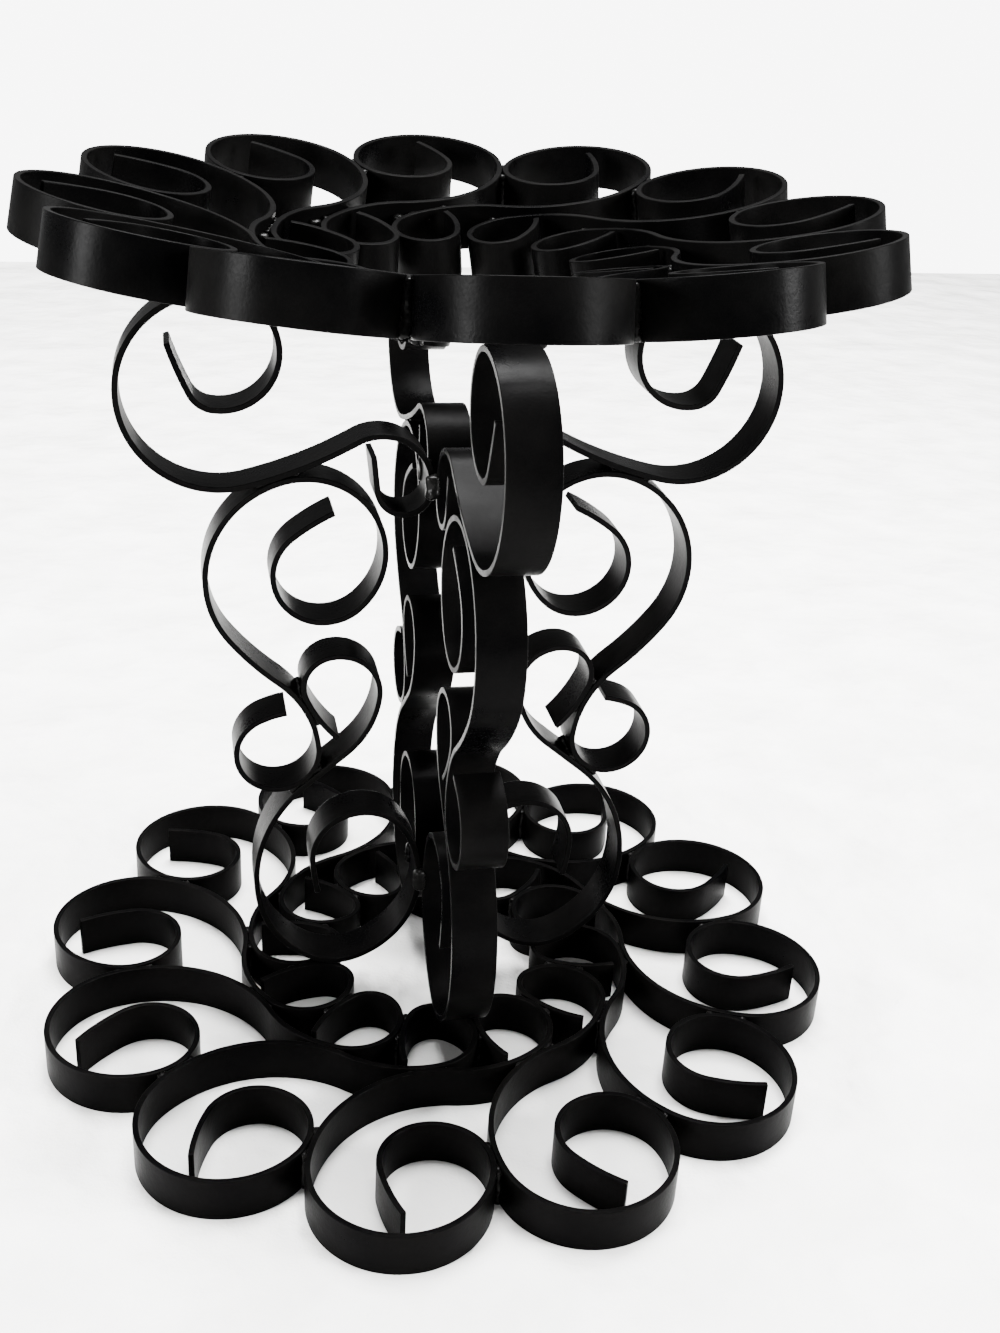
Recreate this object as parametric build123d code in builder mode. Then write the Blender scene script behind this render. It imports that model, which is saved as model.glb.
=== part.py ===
from build123d import *
import os
from math import atan, atan2, cos, degrees, radians, sin, sqrt, tan

# Candle holder welded from bent steel strip
#
# Twelve S-scrolls lie flat on the floor in a ring, four legs of three upright scrolls stand
# on their inner curls, and a second ring of twelve scrolls rests on the legs as a dished
# crown. The strips touch edge to side and are joined by short weld beads.
# The origin is on the floor under the centre, +Z is up and the front leg points along -Y.

# Strip and welds: a bead is a round rod laid in the groove on each side of a contact, this
# far from it, and stops short of the strip's edges
strip_width = 12.7
strip_thickness = 1.6
weld_gap = 0.15
weld_reach = 4.2
weld_radius = 1.5
weld_end_margin = 0.6

# Rings
scroll_count = 12
lobe_centre_radius = 96.6
dish_angle = 12.0
crown_size = 0.94
crown_turn = -3.0
tip_radius = 49.0
tip_turn = 19.5
loop_end_radius = 13.6
loop_end_turn = 88.0
loop_radius = 15.7
loop_turn = 109.0
lobe_turn = 181.5
body_radius = 37.9
waist_radius = 32.6
waist_turn = 49.0
inner_curl_radius = 13.9
inner_curl_turn = 138.0
inner_curl_end_radius = 8.1
inner_curl_end_turn = 94.0
tail_radius = 32.8
tail_turn = 35.0

# Legs, counted round from the left one
leg_names = ["left", "front", "right", "back"]

# Lower leg scroll, from the tip of its small upper curl to the tip inside its large lower curl
lower_heading = 44.0
lower_tip_radius = 39.9
lower_tip_turn = 22.5
lower_curl_radius = 9.2
lower_curl_turn = 100.0
lower_curl_side_radius = 11.8
lower_curl_side_turn = 109.0
lower_shoulder_radius = 27.0
lower_shoulder_turn = 44.5
lower_body_length = 14.6
lower_hip_radius = 42.0
lower_hip_turn = 60.5
lower_haunch_radius = 30.8
lower_haunch_turn = 50.5
lower_heel_radius = 16.9
lower_heel_turn = 49.5
lower_sole_radius = 28.2
lower_sole_turn = 49.0
lower_back_radius = 31.6
lower_back_turn = 52.5
lower_crown_radius = 14.8
lower_crown_turn = 150.0
lower_end_radius = 60.0
lower_end_turn = 11.0

# Middle leg scroll, from the tip inside its large upper curl to the tip of its lower curl
middle_start = (42.0, 162.0)
middle_heading = -25.0
middle_tip_radius = 54.8
middle_tip_turn = 14.0
middle_eye_radius = 14.0
middle_eye_turn = 183.0
middle_arch_radius = 21.8
middle_arch_turn = 154.5
middle_hip_radius = 28.8
middle_hip_turn = 111.0
middle_body_radius = 79.8
middle_body_turn = 13.5
middle_waist_radius = 31.0
middle_waist_turn = 46.5
middle_curl_radius = 11.7
middle_curl_turn = 250.0
middle_end_radius = 30.0
middle_end_turn = 15.0

# Upper leg scroll, from the tip inside its large outer curl to the tip of its small inner curl
upper_start = (76.9, 216.0)
upper_heading = 252.5
upper_tip_radius = 100.0
upper_tip_turn = 8.0
upper_eye_radius = 7.6
upper_eye_turn = 56.5
upper_side_radius = 15.0
upper_side_turn = 185.0
upper_arch_radius = 25.6
upper_arch_turn = 196.5
upper_body_radius = 118.1
upper_body_turn = 15.5
upper_curl_radius = 13.6
upper_curl_turn = 128.5
upper_curl_end_radius = 7.3
upper_curl_end_turn = 163.5
upper_end_length = 10.0

# Small welds where a leg meets a ring, and in the corners round the axis
mount_weld_radius = 3.2
mount_weld_height = 1.2
centre_weld_length = 6.0
centre_weld_radius = 1.7

contact_rounds = 12
strip_pitch = strip_thickness + weld_gap


def straight(length):
    return (length, 0.0)


def strip_bends(start, heading, bends):
    """The middle line of a strip as edges in order. It sets out from a point with a heading in
    degrees and follows its bends, pairs of a radius and a turn that is positive to the left."""
    edges = []
    with BuildLine():
        for radius, turn in bends:
            forward = Vector(1, 0).rotate(Axis.Z, heading)
            if turn == 0.0:
                edges.append(Line(start, Vector(start) + forward * radius))
            else:
                edges.append(JernArc(start=start, tangent=forward, radius=radius, arc_size=turn))
            start = edges[-1] @ 1
            heading += turn
    return edges


def towards(angle):
    """Level unit vector at an angle round the axis, counted from the front (-Y) to the right (+X)."""
    return Vector(sin(radians(angle)), -cos(radians(angle)), 0)


def closest(line, other):
    """Distance between two lines, the nearest point on the first and the way to it from the other."""
    distance, on_line, on_other = line.distance_to_with_closest_points(other)
    return distance, on_line, (on_line - on_other).normalized()


# Ring scrolls
# A ring scroll is drawn in its own plane with the axis at (0, 0) and its lobe towards -y.
# Neighbouring lobes touch about half a sector away. On the dished ring each scroll leans a
# little against the next one, so its strips keep a wider pitch and it fills a narrower sector.
# The crown's scrolls are the base ring's drawn smaller, from the same strip.

sector = 360.0 / scroll_count


class RingScroll:
    """The centreline of a ring scroll, and where it touches the next one."""

    def __init__(self, dish, size):
        half_turn = radians(sector / 2)
        lean = strip_width * sin(radians(dish)) * sin(half_turn)
        half_sector = degrees(atan(tan(half_turn) * cos(radians(dish))))
        self.pitch = strip_pitch + lean
        self.next_place = Location((0, 0, 0), (0, 0, 2 * half_sector))
        lobe_radius = size * lobe_centre_radius * sin(radians(half_sector)) - self.pitch / 2
        body = size * body_radius
        waist = size * waist_radius
        join = Vector(-lobe_radius, -size * lobe_centre_radius)
        self.lobe_side = strip_bends(join, -90.0, [
            (lobe_radius, lobe_turn),
            (size * loop_radius, loop_turn),
            (size * loop_end_radius, loop_end_turn),
            (size * tip_radius, tip_turn),
        ])
        # the waist curves round a point that leaves it tangent to its own body and a pitch off the next
        body_centre = join + Vector(body, 0)
        to_next = body_centre.rotate(Axis.Z, 2 * half_sector) - body_centre
        own_reach = body + waist
        next_reach = own_reach + self.pitch
        along = (own_reach**2 - next_reach**2 + to_next.length**2) / (2 * to_next.length)
        across = sqrt(own_reach**2 - along**2)
        to_waist = to_next.normalized() * along + to_next.normalized().rotate(Axis.Z, 90) * across
        body_turn = 180.0 - degrees(atan2(to_waist.Y, to_waist.X))
        # the inner curl is drawn in where it would press on the next scroll
        curl_room = self.pitch + lean
        curl_size = size
        for _ in range(contact_rounds):
            self.body_side = strip_bends(join, 90.0, [
                (body, -body_turn),
                (waist, waist_turn),
                (curl_size * inner_curl_radius, inner_curl_turn),
                (curl_size * inner_curl_end_radius, inner_curl_end_turn),
                (curl_size * tail_radius, tail_turn),
            ])
            body_edge, waist_edge, curl_edge = self.body_side[:3]
            next_side = Wire(self.body_side).moved(self.next_place)
            pressed = max(0.0, curl_room - curl_edge.distance_to(next_side))
            curl_size -= pressed / (2 * inner_curl_radius)
        self.line = Wire(self.lobe_side + self.body_side)
        next_body = body_edge.moved(self.next_place)
        self.lobe_contact = groove(Wire(self.lobe_side), next_body)
        self.inner_contacts = [groove(waist_edge, next_body), groove(curl_edge, next_side)]


def groove(line, other):
    """The middle of a contact and the direction of the groove there."""
    distance, on_line, away = closest(line, other)
    return on_line - away * (distance / 2), away.rotate(Axis.Z, 90)


def ring_plane(angle, dish, height):
    """Plane of a ring scroll whose lobe lies at an angle, tilted up outwards by the dish."""
    outward = towards(angle) * cos(radians(dish)) + Vector(0, 0, sin(radians(dish)))
    sideways = towards(angle + 90)
    return Plane(origin=(0, 0, height), x_dir=sideways, z_dir=sideways.cross(outward * -1))


def weld_plane(plane, contact):
    """Plane of a weld in a scroll's plane, x along the groove."""
    middle, along = contact
    origin = plane.from_local_coords(middle)
    return Plane(origin=origin, x_dir=plane.from_local_coords(middle + along) - origin, z_dir=plane.z_dir)


base_ring = RingScroll(0.0, 1.0)
base_height = strip_width / 2
base_planes = [ring_plane(sector * (count + 0.5), 0.0, base_height) for count in range(scroll_count)]
top_ring = RingScroll(dish_angle, crown_size)


# Leg scrolls
# They are drawn with x as the distance from the axis and y as the height. The lower scroll
# stands on the base ring and reaches in to the other legs, the middle one nests against it,
# and the upper one reaches in as well and lies on the middle one.

axis_reach = strip_width / 2 + strip_thickness / 2 + weld_gap
ring_top = strip_width + strip_thickness / 2 + weld_gap

lower_curl_bends = [
    (lower_tip_radius, lower_tip_turn),
    (lower_curl_radius, lower_curl_turn),
    (lower_curl_side_radius, lower_curl_side_turn),
]
lower_body_bends = [
    (lower_shoulder_radius, lower_shoulder_turn),
    straight(lower_body_length),
    (lower_hip_radius, -lower_hip_turn),
    (lower_haunch_radius, -lower_haunch_turn),
    (lower_heel_radius, -lower_heel_turn),
    (lower_sole_radius, -lower_sole_turn),
    (lower_back_radius, -lower_back_turn),
    (lower_crown_radius, -lower_crown_turn),
    (lower_end_radius, -lower_end_turn),
]
middle_bends = [
    (middle_tip_radius, -middle_tip_turn),
    (middle_eye_radius, -middle_eye_turn),
    (middle_arch_radius, -middle_arch_turn),
    (middle_hip_radius, -middle_hip_turn),
    (middle_body_radius, -middle_body_turn),
    (middle_waist_radius, middle_waist_turn),
    (middle_curl_radius, middle_curl_turn),
    (middle_end_radius, middle_end_turn),
]
upper_bends = [
    (upper_tip_radius, -upper_tip_turn),
    (upper_eye_radius, -upper_eye_turn),
    (upper_side_radius, -upper_side_turn),
    (upper_arch_radius, -upper_arch_turn),
    (upper_body_radius, -upper_body_turn),
    (upper_curl_radius, upper_curl_turn),
    (upper_curl_end_radius, upper_curl_end_turn),
    straight(upper_end_length),
]

# lower scroll: its innermost point at the axis reach and its lowest point on the base ring
lower_curl = strip_bends((0, 0), lower_heading, lower_curl_bends)
lower_body_heading = lower_heading + sum(turn for _, turn in lower_curl_bends)
lower_body = strip_bends(lower_curl[-1] @ 1, lower_body_heading, lower_body_bends)
lower_box = Wire(lower_body).bounding_box()
lower_place = Location((axis_reach - lower_box.min.X, ring_top - lower_box.min.Y))
lower_curl_line = Wire(lower_curl).moved(lower_place)
lower_body_line = Wire(lower_body).moved(lower_place)
lower_line = Wire(lower_curl + lower_body).moved(lower_place)

# middle scroll: pushed against the small curl and against the body of the lower scroll in turn
middle_line = Wire(strip_bends(middle_start, middle_heading, middle_bends))
for _ in range(contact_rounds):
    for neighbour in (lower_curl_line, lower_body_line):
        distance, _, away = closest(middle_line, neighbour)
        middle_line = middle_line.moved(Location(away * (strip_pitch - distance)))

# upper scroll: its innermost point at the axis reach, lowered on to the middle scroll
upper_line = Wire(strip_bends(upper_start, upper_heading, upper_bends))
upper_line = upper_line.moved(Location((axis_reach - upper_line.bounding_box().min.X, 0)))
for _ in range(contact_rounds):
    distance, _, away = closest(upper_line, middle_line)
    upper_line = upper_line.moved(Location((0, (strip_pitch - distance) / away.Y)))


def leg_plane(angle):
    """Upright plane of a leg: x away from the axis, y up."""
    return Plane(origin=(0, 0, 0), x_dir=towards(angle), z_dir=towards(angle).cross(Vector(0, 0, 1)))


sector_of_leg = 360.0 / len(leg_names)
leg_angles = {name: sector_of_leg * (count - 1) for count, name in enumerate(leg_names)}

# The crown is let down on to the upper scrolls until the first of the strips that cross the
# front leg is a weld gap away from its arch.
with BuildPart() as arch:
    with BuildSketch(leg_plane(0.0)):
        trace(upper_line, line_width=strip_thickness)
    extrude(amount=strip_width / 2, both=True)
top_height = upper_line.bounding_box().max.Y
with BuildPart() as crossing_strips:
    for angle in (-sector, 0.0):
        with BuildSketch(ring_plane(angle + crown_turn, dish_angle, top_height)):
            trace(Wire(top_ring.body_side[:2]), line_width=strip_thickness)
    extrude(amount=strip_width / 2, both=True)
crossing = crossing_strips.part
for _ in range(contact_rounds):
    distance, on_crossing, on_arch = crossing.distance_to_with_closest_points(arch.part)
    lift = (weld_gap - distance) * distance / (on_crossing - on_arch).Z
    top_height += lift
    crossing = crossing.moved(Location((0, 0, lift)))
top_planes = [
    ring_plane(sector * count + crown_turn, dish_angle, top_height) for count in range(scroll_count)
]


os.makedirs("parts", exist_ok=True)


def save(part, label):
    part.label = label
    export_step(part, f"parts/{label}.step")


# Base ring: twelve scrolls flat on the floor, the legs over the meeting of two lobes
base_scrolls = []
for count, plane in enumerate(base_planes, start=1):
    with BuildPart() as base_scroll:
        with BuildSketch(plane):
            trace(base_ring.line, line_width=strip_thickness)
        extrude(amount=strip_width / 2, both=True)
    save(base_scroll.part, f"base_scroll_{count:02d}")
    base_scrolls.append(base_scroll.part)

# Crown: twelve smaller scrolls, each leaning up outwards, a lobe nearly over each leg
top_scrolls = []
for count, plane in enumerate(top_planes, start=1):
    with BuildPart() as top_scroll:
        with BuildSketch(plane):
            trace(top_ring.line, line_width=strip_thickness)
        extrude(amount=strip_width / 2, both=True)
    save(top_scroll.part, f"top_scroll_{count:02d}")
    top_scrolls.append(top_scroll.part)

# Legs: three upright scrolls each
leg_lines = {"lower": lower_line, "middle": middle_line, "upper": upper_line}
leg_scrolls = {place: [] for place in leg_lines}
for leg, angle in leg_angles.items():
    for place, line in leg_lines.items():
        with BuildPart() as leg_scroll:
            with BuildSketch(leg_plane(angle)):
                trace(line, line_width=strip_thickness)
            extrude(amount=strip_width / 2, both=True)
        save(leg_scroll.part, f"leg_{leg}_{place}_scroll")
        leg_scrolls[place].append(leg_scroll.part)


# Weld beads
# Each contact has a groove on both sides. A bead lies in each groove, along the width of the
# strips, and takes up what the two strips leave free of a round rod.

weld_height = strip_width - 2 * weld_end_margin


def groove_beads(planes, strips):
    """Beads beside contacts: x along the groove, z along the width of the strips."""
    with BuildPart() as beads:
        with BuildSketch(*planes):
            with Locations((weld_reach, 0), (-weld_reach, 0)):
                Circle(weld_radius)
        extrude(amount=weld_height / 2, both=True)
        add(strips, mode=Mode.SUBTRACT)
    return beads.part


# Welds between neighbouring lobes of the rings
base_lobe_planes = [weld_plane(plane, base_ring.lobe_contact) for plane in base_planes]
save(groove_beads(base_lobe_planes, base_scrolls), "base_ring_outer_welds")

top_lobe_planes = [weld_plane(plane, top_ring.lobe_contact) for plane in top_planes]
save(groove_beads(top_lobe_planes, top_scrolls), "top_ring_outer_welds")

# Welds where the waist of a ring scroll meets the next body and its inner curl the next curl
base_inner_planes = [
    weld_plane(plane, contact) for plane in base_planes for contact in base_ring.inner_contacts
]
save(groove_beads(base_inner_planes, base_scrolls), "base_ring_inner_welds")

top_inner_planes = [
    weld_plane(plane, contact) for plane in top_planes for contact in top_ring.inner_contacts
]
top_inner_welds = groove_beads(top_inner_planes, top_scrolls + leg_scrolls["upper"])
save(top_inner_welds, "top_ring_inner_welds")

# Welds between the scrolls of each leg
leg_contacts = [
    groove(middle_line, lower_curl_line),
    groove(middle_line, lower_body_line),
    groove(upper_line, middle_line),
]
leg_weld_planes = [
    weld_plane(leg_plane(angle), contact) for angle in leg_angles.values() for contact in leg_contacts
]
leg_strips = leg_scrolls["lower"] + leg_scrolls["middle"] + leg_scrolls["upper"]
save(groove_beads(leg_weld_planes, leg_strips), "leg_joint_welds")

# Welds in the corners round the axis, where the legs' innermost points meet edge to edge
axis_line = Edge.make_line((0, 0), (0, top_height))
with BuildPart() as centre_welds:
    for line in (lower_line, upper_line):
        _, innermost, _ = closest(line, axis_line)
        with BuildSketch(Plane.XY.offset(innermost.Y)):
            with PolarLocations(axis_reach * sqrt(2), len(leg_names), start_angle=sector_of_leg / 2):
                Circle(centre_weld_radius)
        extrude(amount=centre_weld_length / 2, both=True)
    add(leg_strips, mode=Mode.SUBTRACT)
save(centre_welds.part, "centre_welds")


# Welds between a leg and a ring: a round bead over the edge of the ring's strip
def mount_beads(planes, depth_before, depth_behind, strips):
    """Beads at contacts: z across the contact, the depths to the sides it points from and to."""
    with BuildPart() as beads:
        with BuildSketch(*[plane.offset(-depth_before) for plane in planes]):
            Circle(mount_weld_radius)
        extrude(amount=depth_before + depth_behind)
        add(strips, mode=Mode.SUBTRACT)
    return beads.part


weld_sink = weld_gap + strip_thickness / 2

# the crown lies on the arches of the upper scrolls
on_crown = crossing.distance_to_with_closest_points(arch.part)[1]
crown_contact = towards(0.0) * on_crown.dot(towards(0.0)) + Vector(0, 0, on_crown.Z)
crown_weld_planes = [
    Plane(
        origin=crown_contact.rotate(Axis.Z, angle),
        z_dir=ring_plane(angle, dish_angle, top_height).z_dir,
    )
    for angle in leg_angles.values()
]
crown_neighbours = top_scrolls + leg_scrolls["upper"] + list(top_inner_welds.solids())
save(
    mount_beads(crown_weld_planes, weld_sink, mount_weld_height, crown_neighbours),
    "top_mount_welds",
)

# the lower scrolls stand on the base scroll whose inner curl passes under their lowest point
floor_line = Edge.make_line((0, 0), (lobe_centre_radius, 0))
_, sole, _ = closest(lower_line, floor_line)
foot_weld_planes = []
for angle in leg_angles.values():
    sole_point = towards(angle) * sole.X + Vector(0, 0, base_height)
    curls = []
    for plane in base_planes:
        distance, on_curl, _ = closest(base_ring.line, Vertex(plane.to_local_coords(sole_point)))
        curls.append((distance, plane.from_local_coords(on_curl)))
    _, nearest_curl = min(curls, key=lambda curl: curl[0])
    foot_weld_planes.append(Plane(origin=nearest_curl + Vector(0, 0, strip_width / 2), z_dir=(0, 0, 1)))
save(
    mount_beads(foot_weld_planes, mount_weld_height, weld_sink, base_scrolls + leg_scrolls["lower"]),
    "foot_mount_welds",
)
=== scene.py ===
import math

import bpy
from mathutils import Matrix, Vector


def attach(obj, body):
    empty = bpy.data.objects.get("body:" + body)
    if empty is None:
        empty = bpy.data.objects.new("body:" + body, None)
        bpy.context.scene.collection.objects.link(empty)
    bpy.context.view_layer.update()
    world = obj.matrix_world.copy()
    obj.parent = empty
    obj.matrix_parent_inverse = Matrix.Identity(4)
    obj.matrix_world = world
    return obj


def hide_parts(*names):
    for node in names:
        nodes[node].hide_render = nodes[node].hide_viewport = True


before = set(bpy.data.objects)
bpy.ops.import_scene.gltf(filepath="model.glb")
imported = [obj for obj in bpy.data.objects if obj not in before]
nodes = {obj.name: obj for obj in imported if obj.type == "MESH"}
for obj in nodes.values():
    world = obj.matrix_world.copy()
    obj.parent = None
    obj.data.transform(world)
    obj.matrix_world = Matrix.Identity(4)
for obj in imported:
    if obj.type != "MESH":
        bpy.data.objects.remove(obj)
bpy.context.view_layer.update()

# Camera: it looks down over the front left of the stand from less than half a metre away, and
# rolls a few degrees as a hand-held camera does.
camera_place = Vector((-0.0754, -0.3869, 0.2993))
camera_yaw = math.radians(13.25)
camera_pitch = math.radians(-25.55)
camera_roll = math.radians(3.31)
camera_lens = 54.32
camera_clip = 0.01
sensor_width = 36.0

forward = Vector((
    math.sin(camera_yaw) * math.cos(camera_pitch),
    math.cos(camera_yaw) * math.cos(camera_pitch),
    math.sin(camera_pitch),
))
level_right = Vector((math.cos(camera_yaw), -math.sin(camera_yaw), 0.0))
level_up = level_right.cross(forward)
right = level_right * math.cos(camera_roll) + level_up * math.sin(camera_roll)
up = level_up * math.cos(camera_roll) - level_right * math.sin(camera_roll)
camera_data = bpy.data.cameras.new("camera")
camera_data.sensor_fit = "HORIZONTAL"
camera_data.sensor_width = sensor_width
camera_data.lens = camera_lens
camera_data.clip_start = camera_clip
camera = bpy.data.objects.new("camera", camera_data)
bpy.context.scene.collection.objects.link(camera)
camera.matrix_world = Matrix((
    (right.x, up.x, -forward.x, camera_place.x),
    (right.y, up.y, -forward.y, camera_place.y),
    (right.z, up.z, -forward.z, camera_place.z),
    (0.0, 0.0, 0.0, 1.0),
))
bpy.context.scene.camera = camera


# Base ring: twelve S-scrolls of flat steel strip stand on their edges on the floor. The strip is
# bent cold round a jig and welded to its neighbours, then the whole stand is painted satin
# black. The paint is cloudy and grainy, and a little worn on the rims.
class Field:
    """A value that changes over a surface. Sums and products of fields add Math nodes."""

    def __init__(self, tree, socket):
        self.tree = tree
        self.socket = socket

    def math(self, operation, first, second):
        return graph_node(
            self.tree, "ShaderNodeMath", {"operation": operation}, {0: first, 1: second}
        )

    def __add__(self, other):
        return self.math("ADD", self, other)

    def __radd__(self, other):
        return self.math("ADD", other, self)

    def __sub__(self, other):
        return self.math("SUBTRACT", self, other)

    def __rsub__(self, other):
        return self.math("SUBTRACT", other, self)

    def __mul__(self, other):
        return self.math("MULTIPLY", self, other)

    def __rmul__(self, other):
        return self.math("MULTIPLY", other, self)


def graph_node(tree, kind, settings, inputs, output=0):
    """Adds a node: its settings first, then a value or a field for each socket. Gives back the
    output as a field, or nothing where output is None."""
    node = tree.nodes.new(kind)
    for name, value in settings.items():
        if name == "stops":
            for stop, (place, grey) in zip(node.color_ramp.elements, value):
                stop.position = place
                stop.color = (grey, grey, grey, 1.0)
        else:
            setattr(node, name, value)
    for name, value in inputs.items():
        if isinstance(value, Field):
            tree.links.new(value.socket, node.inputs[name])
        else:
            node.inputs[name].default_value = value
    return None if output is None else Field(tree, node.outputs[output])


def ramp(tree, value, low, high):
    """A value stretched so that low turns to 0 and high to 1."""
    return graph_node(
        tree, "ShaderNodeValToRGB", {"stops": [(low, 0.0), (high, 1.0)]}, {"Fac": value}
    )


def speckle(tree, place, scale, detail, low, high):
    """Noise with a scale per metre and a detail, stretched from low and high to 0 and 1."""
    noise = graph_node(
        tree, "ShaderNodeTexNoise", {}, {"Vector": place, "Scale": scale, "Detail": detail}
    )
    return ramp(tree, noise, low, high)


def blend(tree, factor, first, second):
    """The first colour where the factor is 0 and the second where it is 1."""
    return graph_node(
        tree, "ShaderNodeMix", {"data_type": "RGBA"},
        {"Factor": factor, "A": first, "B": second}, "Result",
    )


def empty_material(name):
    """A material and its node tree, with nothing in it yet."""
    material = bpy.data.materials.new(name)
    material.use_nodes = True
    material.node_tree.nodes.clear()
    return material, material.node_tree


def show(tree, surface):
    """Makes a shader the surface of its material."""
    graph_node(
        tree, "ShaderNodeOutputMaterial", {"is_active_output": True}, {"Surface": surface}, None
    )


def black_paint(name, fresh, tired, bare, gloss, shine, rub, grain):
    """Satin black over steel. Fresh and tired paint lie in clouds, and bare is the colour of a
    worn rim. Gloss is the strength of the reflection, shine the least roughness, rub the amount
    of wear and grain the height of the paint's texture in metres."""
    material, tree = empty_material(name)
    place = graph_node(tree, "ShaderNodeTexCoord", {}, {}, "Object")
    rounded = graph_node(tree, "ShaderNodeBevel", {"samples": rim_samples}, {"Radius": rim_width})
    face = graph_node(tree, "ShaderNodeNewGeometry", {}, {}, "True Normal")
    agreement = graph_node(
        tree, "ShaderNodeVectorMath", {"operation": "DOT_PRODUCT"}, {0: rounded, 1: face}, "Value"
    )
    rim = ramp(tree, 1.0 - agreement, *rim_turn)
    clouds = speckle(tree, place, *cloud_noise)
    grit = speckle(tree, place, *grit_noise)
    wear = rim * speckle(tree, place, *patch_noise) * rub
    colour = blend(tree, wear, blend(tree, clouds, fresh, tired), bare)
    roughness = shine + cloud_roughness * clouds + grit_roughness * grit + wear_roughness * wear
    height = grit_height * grit + peel_height * speckle(tree, place, *peel_noise)
    bump = graph_node(
        tree, "ShaderNodeBump", {},
        {"Strength": grain_strength, "Distance": grain, "Height": height - wear_depth * wear},
    )
    surface = graph_node(
        tree, "ShaderNodeBsdfPrincipled", {},
        {
            "Base Color": colour, "Roughness": roughness, "Metallic": wear_metal * wear,
            "Normal": bump, "Specular IOR Level": gloss,
        },
    )
    show(tree, surface)
    return material


def merged_copy(name, new_name):
    """A copy of a CAD node's mesh with its loose triangles merged, alone in the selection."""
    bpy.ops.object.select_all(action="DESELECT")
    piece = nodes[name].copy()
    piece.data = nodes[name].data.copy()
    piece.name = new_name
    for key in list(piece.keys()):
        del piece[key]
    piece.parent = None
    bpy.context.scene.collection.objects.link(piece)
    piece.select_set(True)
    bpy.context.view_layer.objects.active = piece
    bpy.ops.object.mode_set(mode="EDIT")
    bpy.ops.mesh.select_all(action="SELECT")
    bpy.ops.mesh.remove_doubles(threshold=merge_distance)
    bpy.ops.object.mode_set(mode="OBJECT")
    return piece


def hand_over(piece, name, material):
    """Paints a piece and puts it in the place of a CAD node."""
    piece.data.materials.clear()
    piece.data.materials.append(material)
    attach(piece, "root")
    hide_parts(name)


def rolled_strips(start, material):
    """The scrolls whose names start so, with flat faces made whole and the rims rounded."""
    for name in sorted(nodes):
        if not (name.startswith(start) and "_scroll" in name):
            continue
        scroll = merged_copy(name, name.replace("scroll", "strip"))
        bpy.ops.object.mode_set(mode="EDIT")
        bpy.ops.mesh.select_all(action="SELECT")
        bpy.ops.mesh.dissolve_limited(angle_limit=flat_angle)
        bpy.ops.object.mode_set(mode="OBJECT")
        bpy.ops.object.shade_smooth_by_angle(angle=rim_angle)
        rims = scroll.modifiers.new("rims", "BEVEL")
        rims.limit_method = "ANGLE"
        rims.angle_limit = rim_angle
        rims.width = rim_radius
        rims.segments = rim_segments
        rims.harden_normals = True
        bpy.ops.object.modifier_apply(modifier="rims")
        hand_over(scroll, name, material)


merge_distance = 0.00001
flat_angle = math.radians(0.3)
rim_angle = math.radians(50.0)
rim_radius = 0.00022
rim_segments = 3

# a rim shows where the rounded normal leaves the face's own by this much
rim_width = 0.0007
rim_samples = 6
rim_turn = (0.02, 0.22)

# noises of the paint: scale per metre, detail, and the values that turn to 0 and to 1
cloud_noise = (45.0, 4.0, 0.35, 0.68)
patch_noise = (260.0, 6.0, 0.50, 0.66)
grit_noise = (1500.0, 3.0, 0.30, 0.75)
peel_noise = (420.0, 4.0, 0.25, 0.80)
cloud_roughness = 0.16
grit_roughness = 0.07
wear_roughness = 0.10
grit_height = 0.35
peel_height = 0.65
wear_depth = 0.5
wear_metal = 0.06
grain_strength = 0.35

base_paint = black_paint(
    "base_black", fresh=(0.0004, 0.0004, 0.00045, 1.0), tired=(0.0012, 0.00115, 0.0011, 1.0),
    bare=(0.0085, 0.0080, 0.0075, 1.0), gloss=0.009, shine=0.27, rub=0.8, grain=0.00012,
)
rolled_strips("base_", base_paint)

# Legs: four uprights of three S-scrolls each, bent from the same strip, stacked from the base
# ring to the crown and welded where they touch. Their faces are a little smoother than the
# base's, which is handled and scraped more.
leg_paint = black_paint(
    "leg_black", fresh=(0.0005, 0.0005, 0.00055, 1.0), tired=(0.0014, 0.00135, 0.0013, 1.0),
    bare=(0.0070, 0.0066, 0.0062, 1.0), gloss=0.009, shine=0.22, rub=0.55, grain=0.0001,
)
rolled_strips("leg_", leg_paint)

# Crown: twelve more scrolls, welded in a ring and tilted up outwards as a shallow dish that
# carries the candle. The outer faces catch the light as broad soft bands.
crown_paint = black_paint(
    "crown_black", fresh=(0.0005, 0.0005, 0.00055, 1.0), tired=(0.0015, 0.00145, 0.0014, 1.0),
    bare=(0.0075, 0.0071, 0.0067, 1.0), gloss=0.010, shine=0.24, rub=0.6, grain=0.0001,
)
rolled_strips("top_", crown_paint)

# Welds: short beads run by hand into the grooves between the strips. They are lumpy, stand a
# little proud of the grooves and are painted over with the rest, so they shine in small spots.
bead_voxel = 0.00042
bead_growth = 0.0004
bead_smoothing = 4
bead_unevenness = 0.0013
bead_middle = 0.55
lump_size = 0.003
lump_detail = 2
weld_paint = black_paint(
    "weld_black", fresh=(0.0008, 0.0008, 0.00085, 1.0), tired=(0.0022, 0.00215, 0.002, 1.0),
    bare=(0.014, 0.013, 0.012, 1.0), gloss=0.035, shine=0.16, rub=0.5, grain=0.0002,
)
lumps = bpy.data.textures.new("weld_lumps", "CLOUDS")
lumps.noise_scale = lump_size
lumps.noise_depth = lump_detail

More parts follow.
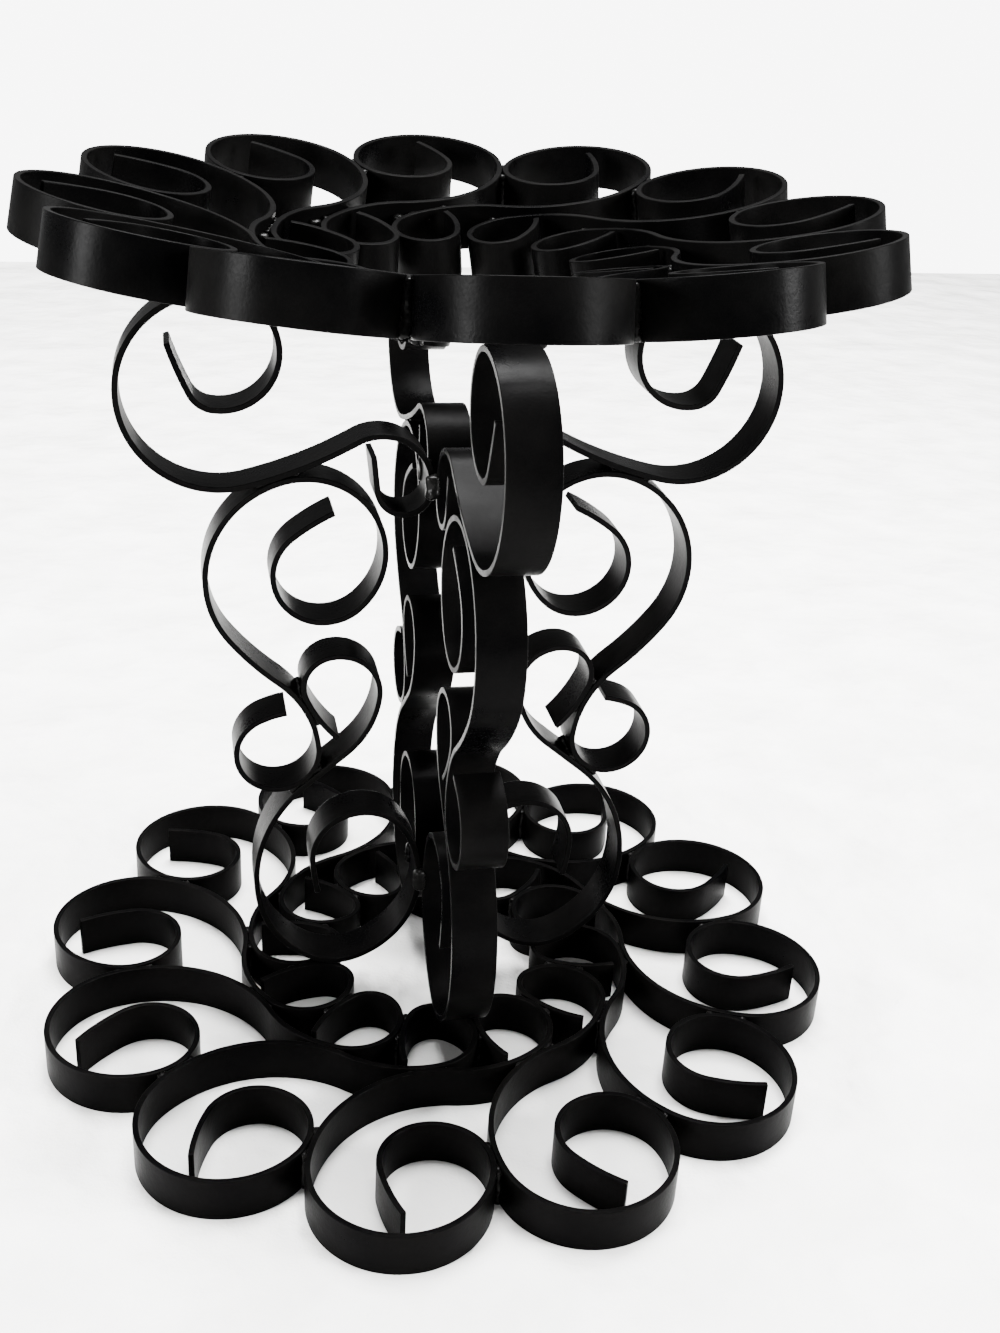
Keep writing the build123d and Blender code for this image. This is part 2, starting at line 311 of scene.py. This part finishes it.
for name in sorted(nodes):
    if not name.endswith("welds"):
        continue
    beads = merged_copy(name, name.replace("welds", "beads"))
    skin = beads.modifiers.new("skin", "REMESH")
    skin.mode = "VOXEL"
    skin.voxel_size = bead_voxel
    grow = beads.modifiers.new("grow", "DISPLACE")
    grow.strength = bead_growth
    grow.mid_level = 0.0
    smooth = beads.modifiers.new("smooth", "SMOOTH")
    smooth.iterations = bead_smoothing
    uneven = beads.modifiers.new("uneven", "DISPLACE")
    uneven.texture = lumps
    uneven.texture_coords = "LOCAL"
    uneven.strength = bead_unevenness
    uneven.mid_level = bead_middle
    for modifier in ("skin", "grow", "smooth", "uneven"):
        bpy.ops.object.modifier_apply(modifier=modifier)
    bpy.ops.object.shade_smooth()
    hand_over(beads, name, weld_paint)

# Surroundings: a white cloth with soft creases lies on a table whose far edge is behind the
# stand, and a white wall stands behind that. The wall is only a backdrop for the camera, and
# the light comes from a panel overhead and a window on each side.
stage_size = 6.0
floor_far_edge = 1.15
wall_gap = 0.3
wall_glow = 8.0
room_strength = 0.6
white = (1.0, 1.0, 1.0, 1.0)
# grey of the painted shade in the low parts of the cloth's creases
cloth_crease_painted_shade = (0.74, 0.735, 0.72, 1.0)
cloth_white = (0.88, 0.875, 0.865, 1.0)
cloth_roughness = 0.9
cloth_gloss = 0.1
cloth_strength = 0.9
cloth_depth = 0.010
crease_height = 0.35
thread_height = 0.01
fold_noise = (7.0, 2.0, 0.25, 0.75)
crease_noise = (28.0, 3.0, 0.30, 0.72)
thread_noise = (900.0, 2.0, 0.30, 0.70)


def stage_plane(name, place, tilt, material):
    """A square plane of the stage at a place, tilted about the X axis."""
    bpy.ops.object.select_all(action="DESELECT")
    bpy.ops.mesh.primitive_plane_add(size=stage_size, location=place, rotation=(tilt, 0.0, 0.0))
    bpy.ops.object.transform_apply(location=True, rotation=True, scale=False)
    plane = bpy.context.object
    plane.name = name
    plane.data.materials.append(material)
    return plane


cloth, tree = empty_material("white_cloth")
place = graph_node(tree, "ShaderNodeTexCoord", {}, {}, "Object")
# The crease noise raises the cloth's relief and also greys its colour where it is low: painted
# shade in the creases.
crease_relief_and_painted_shade = speckle(tree, place, *crease_noise)
relief = (
    speckle(tree, place, *fold_noise)
    + crease_height * crease_relief_and_painted_shade
    + thread_height * speckle(tree, place, *thread_noise)
)
cloth_bump = graph_node(
    tree, "ShaderNodeBump", {},
    {"Strength": cloth_strength, "Distance": cloth_depth, "Height": relief},
)
cloth_surface = graph_node(
    tree, "ShaderNodeBsdfPrincipled", {},
    {
        "Base Color": blend(tree, crease_relief_and_painted_shade, cloth_crease_painted_shade, cloth_white),
        "Roughness": cloth_roughness, "Normal": cloth_bump, "Specular IOR Level": cloth_gloss,
    },
)
show(tree, cloth_surface)
stage_plane("floor", (0.0, floor_far_edge - stage_size / 2, 0.0), 0.0, cloth)

blank, tree = empty_material("blank_white")
show(tree, graph_node(tree, "ShaderNodeEmission", {}, {"Color": white, "Strength": wall_glow}))
wall = stage_plane("white_wall", (0.0, floor_far_edge + wall_gap, 0.0), math.radians(90.0), blank)
wall.visible_diffuse = False
wall.visible_glossy = False


def soft_light(name, place, target, width, power):
    """A soft square light at a place, turned to a target, with its width and power."""
    light = bpy.data.lights.new(name, "AREA")
    light.shape = "SQUARE"
    light.size = width
    light.energy = power
    lamp = bpy.data.objects.new(name, light)
    bpy.context.scene.collection.objects.link(lamp)
    lamp.location = place
    aim = Vector(target) - Vector(place)
    lamp.rotation_euler = aim.to_track_quat("-Z", "Y").to_euler()


soft_light("overhead", (0.1, 0.35, 1.5), (0.0, 0.0, 0.1), width=0.8, power=190.0)
soft_light("left_window", (-1.2, -0.45, 0.45), (0.0, 0.0, 0.15), width=0.4, power=70.0)
soft_light("right_window", (1.1, -0.55, 0.55), (0.0, 0.0, 0.15), width=0.4, power=70.0)
world = bpy.data.worlds.new("room")
bpy.context.scene.world = world
world.use_nodes = True
room = world.node_tree.nodes["Background"]
room.inputs["Color"].default_value = white
room.inputs["Strength"].default_value = room_strength
